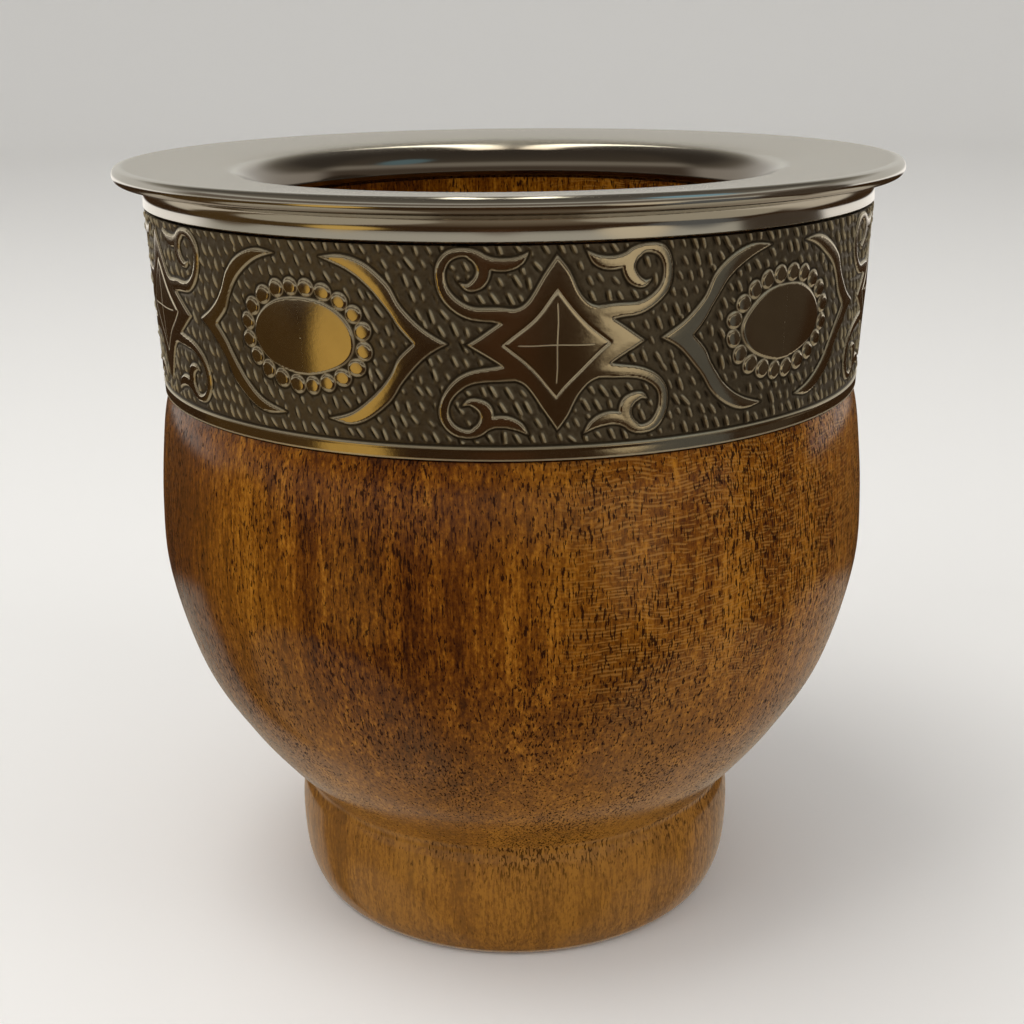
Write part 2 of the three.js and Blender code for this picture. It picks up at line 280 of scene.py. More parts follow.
# %% The star with its four scrolls
STAR_FLANK = [(0, 8.4), (1, 6.9), (2.1, 4.95), (3.2, 3.75), (4.6, 3.3)]
STAR_NOTCH = (5.1, 2.25)
STAR_ARROW = (8.5, 0)
SCROLL = [
    (3.2, 2.5, 0.9), (5.6, 2.85, 0.7), (8, 3.1, 0.6), (9.6, 3.95, 0.55), (10.6, 5.3, 0.5),
    (10.75, 7, 0.5), (9.9, 8.35, 0.5), (8.4, 8.7, 0.42), (7.2, 8.1, 0.6), (6.75, 7, 0.62),
    (7.15, 5.95, 0.6), (8.2, 5.45, 0.35), (9, 5.85, 0.02),
]
SCROLL_TAIL = [(7.7, 8.4, 0.5), (6.2, 7.6, 0.6), (4.8, 7.5, 0.62), (3.6, 7.9, 0.45), (2.7, 8.75, 0.02)]
DIAMOND_REACH = 5.1
DIAMOND_FLANK = [(0, DIAMOND_REACH), (1.5, 3.25), (3, 1.7), (DIAMOND_REACH, 0)]


def star_depths(across, up):
    """How far inside the star, and inside the diamond chased on it, each place lies"""
    x, y = np.abs(across), np.abs(up)
    overlap = 2
    beyond_tip = (STAR_FLANK[0][0] - overlap / 2, STAR_FLANK[0][1] + overlap * 0.75)
    beyond_arrow = (STAR_ARROW[0] + overlap * 1.5, -overlap)
    flank = smooth_through(STAR_FLANK, 6)
    body = [(-overlap, -overlap), beyond_arrow, STAR_NOTCH, *flank[::-1], beyond_tip, (-overlap, overlap)]
    star = inside_outline(x, y, body)
    for ribbon in (SCROLL, SCROLL_TAIL):
        star = np.maximum(star, inside_ribbon(x, y, ribbon))
    beyond_side = (DIAMOND_REACH + overlap, -overlap)
    beyond_top = (-overlap / 2, DIAMOND_REACH + overlap)
    edge = smooth_through(DIAMOND_FLANK, 5)
    diamond = [(-overlap, -overlap), beyond_side, *edge[::-1], beyond_top]
    return star, inside_outline(x, y, diamond)


# %% [markdown]
# ## The oval
#
# A domed oval lies in a ring of round beads, between two brackets. Equal angles
# would crowd the beads at the ends of their ellipse, so its length is measured
# and the beads are spread evenly along it.

# %% The oval with its beads and brackets
BRACKET_OUTER = [(2.6, 7.9), (5, 8.25), (7.3, 7.5), (9.5, 5.8), (10.8, 3.6), (13, 1.3), (15.2, 0)]
BRACKET_INNER = [(2.6, 7.9), (5.3, 6.95), (7.8, 5.2), (9.5, 3), (10.4, 1.5), (11.8, 0)]
OVAL_ACROSS = 5.95
OVAL_UP = 3.85
BEAD_COUNT = 20
BEAD_RADIUS = 0.93
BEAD_RING_ACROSS = 7
BEAD_RING_UP = 4.85


def bracket_depth(across, up):
    outer = smooth_through(BRACKET_OUTER, 5)
    inner = smooth_through(BRACKET_INNER, 5)[::-1]
    lower_outer = [(x, -y) for x, y in outer[::-1]][1:]
    lower_inner = [(x, -y) for x, y in inner[::-1]][1:]
    return inside_outline(np.abs(across), up, outer + lower_outer + lower_inner + inner[1:-1])


def bead_middles():
    """Places spread evenly along the ellipse that the beads lie on"""
    turn_angles = np.linspace(0, 2 * math.pi, 721)
    ellipse = np.stack([BEAD_RING_ACROSS * np.cos(turn_angles), BEAD_RING_UP * np.sin(turn_angles)], 1)
    walked = np.concatenate([[0], np.cumsum(np.hypot(*np.diff(ellipse, axis=0).T))])
    stops = (np.arange(BEAD_COUNT) + 0.5) * walked[-1] / BEAD_COUNT
    across, up = (np.interp(stops, walked, ellipse[:, axis]) for axis in (0, 1))
    return list(zip(across, up))


BEADS = bead_middles()
print(len(BEADS), "beads round each oval")

# %% [markdown]
# ## Laying the ornament out
#
# The stars stand at one pitch round the cup, with an oval midway after each.
# The strip's two ends meet behind the cup, in a gap that came out a little
# wider. Each punch mark on the ground has its own small shift and turn, from a
# seeded draw, as a hand would leave it.

# %% Layout round the cup
MOTIF_COUNT = 5
MOTIF_PITCH = 70.6
FIRST_STAR = 6.1 - 2 * MOTIF_PITCH
MOTIF_HEIGHT = 76.7
MEAN_RADIUS = BAND_MIDDLE / MM
STRIP_LENGTH = 2 * math.pi * MEAN_RADIUS
STRIP_BOTTOM = BAND_LOW.z / MM - MOTIF_HEIGHT
STRIP_TOP = BAND_HIGH.z / MM - MOTIF_HEIGHT


def along_strip(degrees):
    return math.radians(degrees) * MEAN_RADIUS


STAR_PLACES = [along_strip(FIRST_STAR + i * MOTIF_PITCH) for i in range(MOTIF_COUNT + 1)]
STAR_PLACES[-1] = STAR_PLACES[0] + STRIP_LENGTH
OVAL_PLACES = [(start + end) / 2 for start, end in zip(STAR_PLACES, STAR_PLACES[1:])]
BEFORE_STAR = 11.9
BLANK_STARTS = [place - BEFORE_STAR for place in STAR_PLACES]
STRIP_START = BLANK_STARTS[0]
print("strip", round(STRIP_LENGTH, 1), "mm long and", round(STRIP_TOP - STRIP_BOTTOM, 2), "mm wide")

# %% Punch marks over the ground
MARK_PITCH = 1.31
MARK_ROW = 1.5
MARK_LENGTH = 1.6
MARK_HALF_WIDTH = 0.17
MARK_SLOPE = 117
MARK_HEIGHT = 0.27


def punch_marks():
    """Middle and angle of every slanting mark, in staggered rows"""
    draw = np.random.default_rng(8)
    marks = []
    columns = round(STRIP_LENGTH / MARK_PITCH)
    rows = int((STRIP_TOP - STRIP_BOTTOM) / MARK_ROW)
    for row in range(rows):
        up = STRIP_TOP - 0.35 - row * MARK_ROW
        for column in range(columns):
            across = STRIP_START + (column + 0.5 * (row % 2) + 0.25) * STRIP_LENGTH / columns
            shift = draw.normal(0, 0.13, 2)
            slope = math.radians(MARK_SLOPE + draw.normal(0, 8))
            marks.append((across + shift[0], up + shift[1], slope, draw.uniform(0.65, 1.15)))
    return marks


MARKS = punch_marks()
print(len(MARKS), "places for punch marks")

# %% [markdown]
# ## One relief for the strip
#
# On the real strip the motifs and the border stand up from a struck ground, and
# a fine gutter runs round each motif. A height map would need a picture, so the
# height of each place is worked out: the greatest of ground, motifs and border,
# less the gutter, with punch marks where there is room for them. A small wander
# keeps the lines from looking drawn by a machine.
#
# The relief, the depth inside a motif or a diamond, and the place on the
# nearest star are all stored on the mesh, because the metal's finish follows
# them. A depth is negative outside its outline: such a number crosses an edge
# evenly, so it gives a clean line even between two vertices.

# %% Relief of the whole strip
BORDER_HEIGHT = 1.35
GROUND_LIFT = 0.14
EDGE_IN = 0.13
DOME = 0.09
BEAD_DOME = 0.26
FAR = 9


def add_marks(relief, room, across, up):
    """Raises the punch marks where there is room between the motifs"""
    columns, rows = across[:, 0], up[0]
    for x, y, slope, size in MARKS:
        i0, i1 = np.searchsorted(columns, [x - 1, x + 1])
        j0, j1 = np.searchsorted(rows, [y - 1, y + 1])
        if i1 > i0 and j1 > j0:
            dx, dy = across[i0:i1, j0:j1] - x, up[i0:i1, j0:j1] - y
            along = dx * math.cos(slope) + dy * math.sin(slope)
            aside = -dx * math.sin(slope) + dy * math.cos(slope)
            half = MARK_LENGTH * size / 2
            body = np.clip(1 - (along / half) ** 2, 0, 1)
            ridge = body * np.exp(-((aside + 0.05) / MARK_HALF_WIDTH) ** 2)
            dent = 0.55 * body * np.exp(-((aside - 0.28) / MARK_HALF_WIDTH) ** 2)
            relief[i0:i1, j0:j1] += MARK_HEIGHT * size * (ridge - dent) * room[i0:i1, j0:j1]


def motif_relief(depth):
    """A raised motif: a rounded shoulder and a very slight crown"""
    return RELIEF / MM * soft_step(depth, -0.03, EDGE_IN) + 0.02 * soft_step(depth, 0, 1)


def star_relief(across, up):
    """Height, depth inside the outline, and depth inside the diamond chased on the star"""
    star, diamond = star_depths(across, up)
    relief = motif_relief(star)
    pyramid = np.clip(1 - np.abs(across) / DIAMOND_REACH - np.abs(up) / DIAMOND_REACH, 0, 1)
    relief += 0.1 * pyramid * (diamond > 0)
    relief -= 0.05 * line_mark(diamond, 0.12) * (star > 0.1)
    return relief, star, diamond


def oval_relief(across, up):
    bracket = bracket_depth(across, up)
    relief = motif_relief(bracket)
    reach = np.hypot(across / OVAL_ACROSS, up / OVAL_UP)
    oval = (1 - reach) * OVAL_UP
    dome = RELIEF / MM * soft_step(oval, -0.03, EDGE_IN) + DOME * np.clip(1 - reach**2, 0, 1)
    relief = np.maximum(relief, np.where(oval > -0.1, dome, 0))
    nearest_bead = np.full(across.shape, 99.0)
    for x, y in BEADS:
        nearest_bead = np.minimum(nearest_bead, np.hypot(across - x, up - y))
    bead = BEAD_RADIUS - nearest_bead
    cap = soft_step(bead, -0.03, 0.2) + 0.2 * np.clip(1 - (nearest_bead / BEAD_RADIUS) ** 2, 0, 1)
    relief = np.maximum(relief, BEAD_DOME * cap)
    return relief, np.maximum(np.maximum(bracket, oval), bead), None


REACH = 45


def strip_fields(across, up):
    """Relief, depth inside a motif, and place on the nearest star, in millimetres over the flat strip"""
    wander = 0.07 * np.sin(across * 0.9 + 1.7 * np.sin(up * 0.5)) + 0.05 * np.sin(up * 1.3 + across * 0.31)
    lift = 0.06 * np.sin(up * 0.8 + across * 0.23) + 0.04 * np.sin(across * 1.1)
    relief = np.full(across.shape, GROUND_LIFT)
    depth, diamond = np.full(across.shape, -99.0), np.full(across.shape, -99.0)
    star_across = np.full(across.shape, 99.0)
    middle = across.mean()
    for places, shape in ((STAR_PLACES, star_relief), (OVAL_PLACES, oval_relief)):
        for place in [places[0] + STRIP_LENGTH, *places, places[-1] - STRIP_LENGTH]:
            if abs(place - middle) < REACH:
                local = across - place + wander
                height, inside, chased = shape(local, up + lift)
                relief = np.maximum(relief, height)
                depth = np.maximum(depth, inside)
                if shape is star_relief:
                    diamond = np.maximum(diamond, chased)
                    star_across = np.where(np.abs(local) < np.abs(star_across), local, star_across)
    border = STRIP_BOTTOM + BORDER_HEIGHT - up
    relief = np.maximum(relief, motif_relief(border))
    relief += 0.05 * line_mark(border - 0.18, 0.12)
    depth = np.maximum(depth, border)
    relief -= 0.07 * line_mark(depth + 0.2, 0.13)
    add_marks(relief, soft_step(-depth, 0.12, 0.45), across, up)
    joint = np.minimum(np.abs(across - STRIP_START), np.abs(across - STRIP_START - STRIP_LENGTH))
    relief -= 0.12 * line_mark(joint, 0.08)
    return {
        "relief": relief, "depth": depth, "diamond": diamond,
        "star_across": star_across, "star_up": up + lift,
    }


# %% [markdown]
# ## Making the strip
#
# The strip is laid flat as five blanks, each with one star and one oval. A
# blank is a grid that is closed behind by extruding its long edges, bridging
# them and filling the ends. Each copy is pressed by a Displace modifier that
# follows a vertex group, tilted by the cup's taper, and bent round the cup by
# a Simple Deform modifier, as the real strip is bent after it is chased flat.

# %% Make one flat blank, a unit long
BLANK_ACROSS = 440
BLANK_UP = 150
STRIP_WIDTH = (STRIP_TOP - STRIP_BOTTOM) * MM


def make_blank():
    bpy.ops.object.select_all(action="DESELECT")
    bpy.ops.mesh.primitive_grid_add(
        x_subdivisions=BLANK_ACROSS, y_subdivisions=BLANK_UP, size=1, rotation=(math.pi / 2, 0, 0)
    )
    piece = bpy.context.object
    piece.name = "flat_blank"
    piece.scale = (1, STRIP_WIDTH, 1)
    apply_place(piece)
    for edge in piece.data.edges:
        heights = [piece.data.vertices[i].co.z for i in edge.vertices]
        on_long_edge = min(abs(z) for z in heights) > STRIP_WIDTH / 2 - 0.001 * MM
        edge.select = on_long_edge and heights[0] * heights[1] > 0
    bpy.ops.object.mode_set(mode="EDIT")
    bpy.ops.mesh.select_mode(type="EDGE")
    bpy.ops.mesh.extrude_region_move(TRANSFORM_OT_translate={"value": (0, BAND_SHEET, 0)})
    bpy.ops.mesh.bridge_edge_loops()
    bpy.ops.mesh.select_all(action="SELECT")
    bpy.ops.mesh.fill_holes(sides=0)
    bpy.ops.mesh.normals_make_consistent(inside=False)
    bpy.ops.object.mode_set(mode="OBJECT")
    return piece


blank = make_blank()
print("blank", len(blank.data.polygons), "faces")

# %% Press, tilt and bend each copy
LOWEST = -0.3
HIGHEST = 0.8
TAPER = math.atan((BAND_TOP_RADIUS - BAND_BOTTOM_RADIUS) / STRIP_WIDTH)
GROUND_RADIUS = BAND_MIDDLE - RELIEF


def apply_modifier(piece, name):
    bpy.context.view_layer.objects.active = piece
    bpy.ops.object.modifier_apply(modifier=name)


def press(piece, front, relief):
    """Raises the front of a flat blank by its relief"""
    weights = np.clip((relief - LOWEST) / (HIGHEST - LOWEST), 0, 1)
    group = piece.vertex_groups.new(name="relief")
    for index, weight in zip(front.tolist(), weights.tolist()):
        group.add([index], weight, "REPLACE")
    stamp = piece.modifiers.new("press", "DISPLACE")
    stamp.direction = "Y"
    stamp.mid_level = 0
    stamp.strength = -(HIGHEST - LOWEST) * MM
    stamp.vertex_group = "relief"
    apply_modifier(piece, "press")
    piece.vertex_groups.remove(piece.vertex_groups["relief"])


def bend(piece, angle, towards):
    """Bends a flat piece round the Z axis, with its middle facing an angle measured from -Y towards +X"""
    deform = piece.modifiers.new("bend", "SIMPLE_DEFORM")
    deform.deform_method = "BEND"
    deform.deform_axis = "Z"
    deform.angle = angle
    apply_modifier(piece, "bend")
    piece.location.y = -GROUND_RADIUS
    apply_place(piece)
    piece.rotation_euler.z = towards
    apply_place(piece)


def make_band_piece(number, start, end):
    bpy.ops.object.select_all(action="DESELECT")
    blank.select_set(True)
    bpy.context.view_layer.objects.active = blank
    bpy.ops.object.duplicate(linked=False)
    piece = bpy.context.object
    piece.name = f"embossed_band_{number}"
    places = np.empty(len(piece.data.vertices) * 3)
    piece.data.vertices.foreach_get("co", places)
    places = places.reshape(-1, 3)
    across = (start + end) / 2 + places[:, 0] * (end - start)
    up = (STRIP_TOP + STRIP_BOTTOM) / 2 + places[:, 2] / MM
    front = np.flatnonzero(places[:, 1] < BAND_SHEET / 2)
    order = front[np.lexsort((np.round(up[front], 4), np.round(across[front], 4)))]
    shape = (BLANK_ACROSS + 1, BLANK_UP + 1)
    fields = strip_fields(across[order].reshape(shape), up[order].reshape(shape))
    for name, values in fields.items():
        whole = np.zeros(len(places), np.float32)
        whole[order] = np.clip(values, -FAR, FAR).ravel()
        piece.data.attributes.new(name, "FLOAT", "POINT").data.foreach_set("value", whole)
    press(piece, order, fields["relief"].ravel())
    angle = (end - start) / MEAN_RADIUS
    piece.scale.x = angle * GROUND_RADIUS
    piece.location.y = -LOWEST * MM
    apply_place(piece)
    piece.rotation_euler.x = TAPER
    piece.location.z = (BAND_LOW.z + BAND_HIGH.z) / 2
    apply_place(piece)
    bend(piece, angle, (start + end) / 2 / MEAN_RADIUS)
    bpy.ops.object.shade_smooth_by_angle(angle=math.radians(75))
    return piece


band_pieces = [
    make_band_piece(number, start, end)
    for number, (start, end) in enumerate(zip(BLANK_STARTS, BLANK_STARTS[1:]), 1)
]
bpy.data.objects.remove(blank)
print(len(band_pieces), "band pieces of", len(band_pieces[0].data.polygons), "faces")

# %% [markdown]
# ## Writing materials as sums
#
# A material here is a sum of patterns. So one small class wraps a socket, and
# Python's own signs add the Math nodes. Every other node comes from one method
# that takes its type, its settings and its inputs.

# %% A value on the surface, and a finish made of such values
class Value:
    """One number that changes over the surface"""

    def __init__(self, finish, socket):
        self.finish = finish
        self.socket = socket

    def maths(self, operation, *inputs, clamp=False):
        settings = {"operation": operation, "use_clamp": clamp}
        return self.finish.node("ShaderNodeMath", settings, dict(enumerate(inputs)))

    def __add__(self, other):
        return self.maths("ADD", self, other)

    def __sub__(self, other):
        return self.maths("SUBTRACT", self, other)

    def __rsub__(self, other):
        return self.maths("SUBTRACT", other, self)

    def __mul__(self, other):
        return self.maths("MULTIPLY", self, other)

    __radd__ = __add__
    __rmul__ = __mul__

    def between(self, low, high):
        """0 below low, 1 above high and a soft step from one to the other"""
        settings = {"interpolation_type": "SMOOTHSTEP"}
        return self.finish.node("ShaderNodeMapRange", settings, {0: self, 1: low, 2: high, 3: 0, 4: 1})

    def clamped(self):
        return self.maths("ADD", self, 0, clamp=True)


class Finish:
    """The look of a surface, or of the sky round it, worked out by nodes"""

    def __init__(self, owner, shader):
        owner.use_nodes = True
        self.owner = owner
        self.tree = owner.node_tree
        self.shader = self.tree.nodes[shader]

    def node(self, kind, settings, inputs, output=0):
        made = self.tree.nodes.new(kind)
        for name, value in settings.items():
            if name == "stops":
                self.set_stops(made.color_ramp, value)
            else:
                setattr(made, name, value)
        for socket, value in inputs.items():
            self.put(made.inputs[socket], value)
        return Value(self, made.outputs[output])

    def put(self, socket, value):
        if isinstance(value, Value):
            self.tree.links.new(value.socket, socket)
        elif isinstance(value, tuple) and len(value) == 3 and socket.type == "RGBA":
            socket.default_value = (*value, 1)
        else:
            socket.default_value = value

    def set_stops(self, ramp, stops):
        while len(ramp.elements) < len(stops):
            ramp.elements.new(0.5)
        for element, (position, colour) in zip(ramp.elements, stops):
            element.position = position
            element.color = (*colour, 1)

    def place(self, scale):
        """The place on the piece, stretched by a number for each axis"""
        here = self.node("ShaderNodeTexCoord", {}, {}, "Object")
        return self.node("ShaderNodeVectorMath", {"operation": "MULTIPLY"}, {0: here, 1: scale})

    def along(self, axis):
        """The place along one axis"""
        return self.node("ShaderNodeSeparateXYZ", {}, {0: self.place((1, 1, 1))}, axis)

    def radius(self):
        """Distance from the cup's axis"""
        level = self.place((1, 1, 0))
        return self.node("ShaderNodeVectorMath", {"operation": "LENGTH"}, {0: level}, "Value")

    def noise(self, scale, detail=2, roughness=0.5, warp=0):
        """A cloudy pattern, with this many clouds to the metre along each axis"""
        inputs = {"Vector": self.place(scale), "Scale": 1, "Detail": detail, "Roughness": roughness}
        return self.node("ShaderNodeTexNoise", {}, {**inputs, "Distortion": warp}, "Fac")

    def measure(self, name):
        """A number stored on the mesh"""
        return self.node("ShaderNodeAttribute", {"attribute_name": name}, {}, "Fac")

    def ramp(self, value, *stops):
        return self.node("ShaderNodeValToRGB", {"stops": stops}, {0: value})

    def mix(self, share, first, second):
        """Mixes two colours"""
        return self.node("ShaderNodeMix", {"data_type": "RGBA"}, {0: share, 6: first, 7: second}, 2)

    def bump(self, height, depth, strength=1):
        """A surface raised by height, where 1 is this many metres"""
        return self.node("ShaderNodeBump", {}, {"Height": height, "Distance": depth, "Strength": strength})

    def show(self, inputs):
        """Sets the shader's inputs, and gives back the finished material"""
        for socket, value in inputs.items():
            self.put(self.shader.inputs[socket], value)
        return self.owner


def new_finish(name):
    return Finish(bpy.data.materials.new(name), "Principled BSDF")


def dress(pieces, material, slot, *nodes):
    """Gives pieces their material and body, and hides the nodes that they stand for. The slot is not used
    """
    for piece in pieces:
        piece.data.materials.clear()
        piece.data.materials.append(material)
        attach(piece, "root")
        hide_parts(*nodes)
    print(material.name, "on", len(pieces), "pieces, for", *nodes)


# %% [markdown]
# ## The wood
#
# The wood is a reddish tan hardwood under a satin lacquer. Its grain runs up
# the cup, with fine dark pores a millimetre long. A pattern in Object
# coordinates, stretched along Z, goes through the whole block, so it is cut by
# the bowl's curve as real grain is: long streaks on the upright wall, short
# dots where the wood turns under.
#
# Four patterns, from broad clouds down to specks, add up to one tone, and a
# ramp turns the tone into the wood's colours. The left side is more golden: a
# cloudy golden tone with a painted highlight over it. The foot is paler: a
# painted reflection of the pale floor in the lacquer. On the right the wood has
# a fine rippled figure, a sine wave that noise bends and breaks. The lacquer is
# the coat, and the wood's own gloss is nearly off, so that the pores stay dark
# under the shine.

# %% Paint the wood
def wood_material():
    finish = new_finish("lacquered_hardwood")
    height = finish.along("Z")
    broad = finish.noise((38, 38, 9), 2, 0.6, 0.5)
    streak = finish.noise((480, 480, 26), 3, 0.65, 0.3)
    fibre = finish.noise((2600, 2600, 260), 2, 0.6)
    speck = finish.noise((2700, 2700, 1500), 2, 0.7)
    # Painted reflection: towards the foot the tone is raised and mixed paler, standing in for the pale
    # floor mirrored in the lacquer
    low = 1 - height.between(0.012, 0.045)
    tone = broad * 0.6 + streak * 0.6 + fibre * 0.6 + speck * 0.6 - 0.7 + low * 0.13
    colour = finish.ramp(
        tone, (0.2, (0.028, 0.006, 0.0005)), (0.42, (0.095, 0.024, 0.001)),
        (0.58, (0.18, 0.055, 0.002)), (0.8, (0.38, 0.145, 0.01)),
    )
    across = finish.along("X")
    # Painted highlight on the left side, laid over a cloudy golden tone of the wood
    golden_tone_and_highlight = finish.noise((24, 24, 12), 1) - across * 3
    colour = finish.mix(golden_tone_and_highlight.between(0.5, 0.75) * 0.35, colour, (0.28, 0.115, 0.004))
    # Painted reflection: the foot is mixed towards a pale tan
    colour = finish.mix(low * 0.35, colour, (0.34, 0.175, 0.045))
    figured = across.between(0.0, 0.012) * height.between(0.03, 0.045)
    wavy = finish.noise((110, 110, 110), 1)
    ripple = height.maths("SINE", height * 16000 + wavy * 55)
    broken = finish.noise((650, 650, 2600), 1).between(0.44, 0.56)
    ripple = (ripple * 0.5 + 0.5) * broken * figured
    colour = finish.mix(ripple * 0.6, colour, (0.36, 0.165, 0.028))
    pore_noise = finish.noise((4600, 4600, 900), 2, 0.55)
    crowd = finish.noise((120, 120, 45), 1)
    above_foot = 0.35 + height.between(0.008, 0.017) * 0.65
    pores = (pore_noise + crowd * 0.2 + across * 0.6).between(0.667, 0.72) * above_foot
    colour = finish.mix(pores * 0.92, colour, (0.015, 0.004, 0.001))
    relief = speck * 0.5 + (1 - pores) * 0.7
    return finish.show({
        "Base Color": colour,
        "Roughness": 0.45 + pores * 0.2 + streak * 0.12,
        "Specular IOR Level": 0.02,
        "Coat Weight": 0.6 - pores * 0.45,
        "Coat Roughness": 0.16,
        "Normal": finish.bump(relief, 0.06 * MM, 0.6),
    })


dress([bowl], wood_material(), "wood", "wood_cup")

# %% [markdown]
# ## The steel
#
# The lip is satin, with fine lines left by the lathe, and its rolled edge is
# polished. Under the roll and down in the sleeve the colour is painted darker:
# painted shade, as these parts see little of the room. All of this follows the
# radius and the height, so Object coordinates are enough and the ring needs no
# map of its own.

# %% Paint the steel
def steel_material():
    finish = new_finish("spun_steel")
    radius = finish.radius()
    rings = finish.node(
        "ShaderNodeTexNoise", {"noise_dimensions": "1D"},
        {"W": radius * 9000, "Scale": 1, "Detail": 3, "Roughness": 0.6}, "Fac",
    )
    on_lip = finish.along("Z").between(LIP_TOP - 1.3 * MM, LIP_TOP - 0.9 * MM)
    edge = radius.between(LIP_RADIUS - 1.6 * MM, LIP_RADIUS - 0.6 * MM)
    satin = on_lip * (1 - edge)
    smears = finish.noise((90, 90, 90), 3, 0.6)
    colour = finish.mix(smears, (0.54, 0.515, 0.465), (0.63, 0.6, 0.55))
    # Painted shade: the colour is darkened under the rolled edge and down in the sleeve
    shade_under_roll = radius.between(COLLAR_RADIUS + 1.2 * MM, COLLAR_RADIUS + 2 * MM)
    shade_under_roll = shade_under_roll * (1 - finish.along("Z").between(LIP_TOP - 1.6 * MM, LIP_TOP - 1.1 * MM))
    sleeve = 1 - radius.between(MOUTH_EDGE_RADIUS - 1.8 * MM, MOUTH_EDGE_RADIUS - 0.2 * MM)
    painted_shade = (shade_under_roll * 0.7 + sleeve * 0.7).clamped()
    return finish.show({
        "Base Color": finish.mix(painted_shade, colour, (0.12, 0.08, 0.05)),
        "Metallic": 1.0,
        "Roughness": 0.1 + satin * 0.12 + smears * 0.06,
        "Normal": finish.bump(rings * satin, 0.004 * MM, 0.5),
    })


dress([ring], steel_material(), "steel", "mouth_ring")

# %% [markdown]
# ## The nickel silver
#
# The band was darkened all over and then rubbed, which cleans only the raised
# work: motifs bright and smooth, the ground dark and rough. Thin light lines are
# painted highlights: on the rims of the motifs, along the strip's lower edge and
# on the diamond and the cross chased on each star. The crests of the punch marks
# are lighter, partly from rubbing and partly as a painted highlight. A mask
# painted apart from the shape would miss its edges. The fields on the mesh are
# the ones that raised the metal, so the finish changes exactly where the shape
# does. The diamond and the cross on each star are drawn by how near a place lies
# to their lines.

# %% Paint the band
def band_material():
    finish = new_finish("darkened_nickel_silver")
    relief = finish.measure("relief")
    depth = finish.measure("depth")
    off_diamond = depth.maths("ABSOLUTE", finish.measure("diamond")).between(0.03, 0.09)
    star_across = depth.maths("ABSOLUTE", finish.measure("star_across"))
    star_up = depth.maths("ABSOLUTE", finish.measure("star_up"))
    off_upright = (star_across.between(0.03, 0.08) + star_up.between(3.6, 4)).clamped()
    off_level = (star_up.between(0.03, 0.08) + star_across.between(3.4, 3.8)).clamped()
    off_line = off_diamond * off_upright * off_level
    # Painted highlight: a thin light line along the strip's lower edge
    low_edge_highlight = 1 - finish.along("Z").between(BAND_LOW.z + 0.1 * MM, BAND_LOW.z + 0.22 * MM)
    worked = depth.between(0, 0.03)
    rubbed = worked * depth.between(0.06, 0.13)
    # Painted highlight: the thin edge of the raised work, painted as a light line
    rim_highlight = worked - rubbed
    gutter = depth.between(-0.3, -0.12) * (1 - depth.between(-0.1, -0.02))
    patches = finish.noise((260, 260, 260), 3, 0.6)
    grain = finish.noise((2400, 2400, 2400), 3, 0.6)
    dark = finish.mix(grain, (0.11, 0.088, 0.06), (0.26, 0.22, 0.16))
    # Lighter crests on the punch marks: partly rubbing, partly a painted highlight
    dark = finish.mix(relief.between(0.17, 0.32), dark, (0.82, 0.75, 0.58))
    dark = finish.mix((1 - relief.between(0.02, 0.1)) * 0.8, dark, (0.02, 0.014, 0.008))
    bright = finish.mix(patches, (0.42, 0.36, 0.26), (0.58, 0.51, 0.38))
    colour = finish.mix(worked, dark, bright)
    # Painted highlights: the rims, the chased lines and the lower edge are mixed towards near white
    painted_line_highlight = (rim_highlight * 0.5 + (1 - off_line) + low_edge_highlight).clamped()
    colour = finish.mix(painted_line_highlight, colour, (0.95, 0.88, 0.7))
    colour = finish.mix(gutter * 0.7, colour, (0.015, 0.01, 0.006))
    return finish.show({
        "Base Color": colour,
        "Metallic": 1.0,
        "Roughness": 0.46 - rubbed * (1 - painted_line_highlight) * 0.36 + grain * 0.06,
        "Normal": finish.bump(grain + off_line * 2, 0.02 * MM, 0.25),
    })


dress(band_pieces, band_material(), "nickel_silver", "band")

# %% [markdown]
# ## The floor
#
# The floor is a pale sweep: flat under the cup and turned up far away on all
# sides, so that no horizon shows. It is turned from a profile as the cup is,
# and then flipped to face inwards. Shiny surfaces don't see it, because a white
# floor would make the band look white.

# %% Turn a pale sweep
def make_sweep():
    reach, bend_radius, top = 1.2, 0.5, 1.4
    corner = arc((reach, bend_radius), bend_radius, -90, 0, 12)
    sweep = turn("pale_sweep", [(0, 0), (0.3, 0), (0.8, 0), *corner, (reach + bend_radius, top)], 60)
    bpy.context.view_layer.objects.active = sweep
    bpy.ops.object.mode_set(mode="EDIT")
    bpy.ops.mesh.select_all(action="SELECT")
    bpy.ops.mesh.flip_normals()
    bpy.ops.object.mode_set(mode="OBJECT")
    finish = new_finish("pale_paint")
    sweep.data.materials.append(finish.show({"Base Color": (0.9, 0.89, 0.87), "Roughness": 0.8}))
    sweep.visible_glossy = False


make_sweep()

# %% [markdown]
# ## The light
#
# Three soft lamps stand above and at both sides, and a grey world lights the
# rest evenly. Polished metal shows what stands round it, so what shines sees a
# room of its own: a table, dark brown walls, pale panes and two lamps overhead.
# Cards set round the cup could do the same, but they would also tint the wood.
#
# The Light Path node tells the two apart by the kind of ray that arrives. A
# world is usually sampled directly too, which gives rough metal the grey light
# as well and veils it. So that sampling is off.

# %% Lights
def add_light(name, power, size, height, place, colour=(1, 1, 1)):
    """A soft rectangular light that faces the cup"""
    bpy.ops.object.light_add(type="AREA", location=place)
    light = bpy.context.object
    light.name = name
    light.data.shape = "RECTANGLE"
    light.data.size = size
    light.data.size_y = height
    light.data.energy = power
    light.data.color = colour
    aim = Vector((0, 0, 0.05)) - Vector(place)
    light.rotation_euler = aim.to_track_quat("-Z", "Y").to_euler()
    light.visible_glossy = False
    print(name, power, "W")


